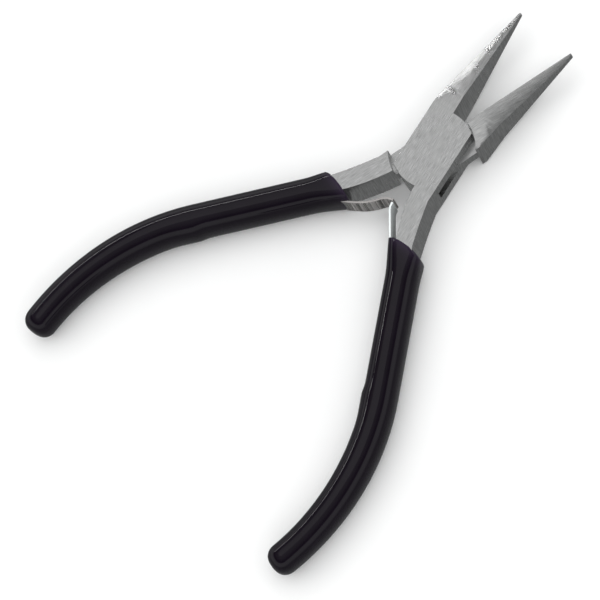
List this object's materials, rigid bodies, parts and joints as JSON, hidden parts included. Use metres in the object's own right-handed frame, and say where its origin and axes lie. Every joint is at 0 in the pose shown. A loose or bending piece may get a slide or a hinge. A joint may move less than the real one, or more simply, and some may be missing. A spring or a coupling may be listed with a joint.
{
  "type": "chain-nose pliers",
  "caption": "Small box-joint pliers with long tapering half-round jaws that meet on flat faces, glossy dipped grips and leaf springs that open them.",
  "frame": {"origin": "on the pivot axis, in the plane of the joint's back face", "axes": "+Z out of the joint's front face along the pivot axis, +Y from the pivot towards the jaw tips halfway between the open jaws, +X to the right"},
  "size_m": [0.0836, 0.1218, 0.011],
  "materials": {
    "ground_steel": "ground along the tool, satin, edges lightly broken",
    "rivet_steel": "ground flush",
    "dipped_vinyl": "smooth glossy dip, very dark purple-black",
    "spring_steel": "bright rolled strip"
  },
  "bodies": {
    "box_side": {"box_half": "ground_steel", "pivot_rivet": "rivet_steel", "right_grip": "dipped_vinyl", "right_leaf_spring": "spring_steel", "right_spring_rivet": "rivet_steel"},
    "lap_side": {"lap_half": "ground_steel", "left_grip": "dipped_vinyl", "left_leaf_spring": "spring_steel", "left_spring_rivet": "rivet_steel"}
  },
  "joints": [
    {"name": "jaw_pivot", "type": "hinge", "parent": "box_side", "child": "lap_side", "pos_m": [0, 0, 0.005], "axis": [0, 0, 1], "range_deg": [-14, 22.8], "stiffness_Nm_per_rad": 0.3, "deforming": ["right_leaf_spring", "left_leaf_spring"]}
  ]
}
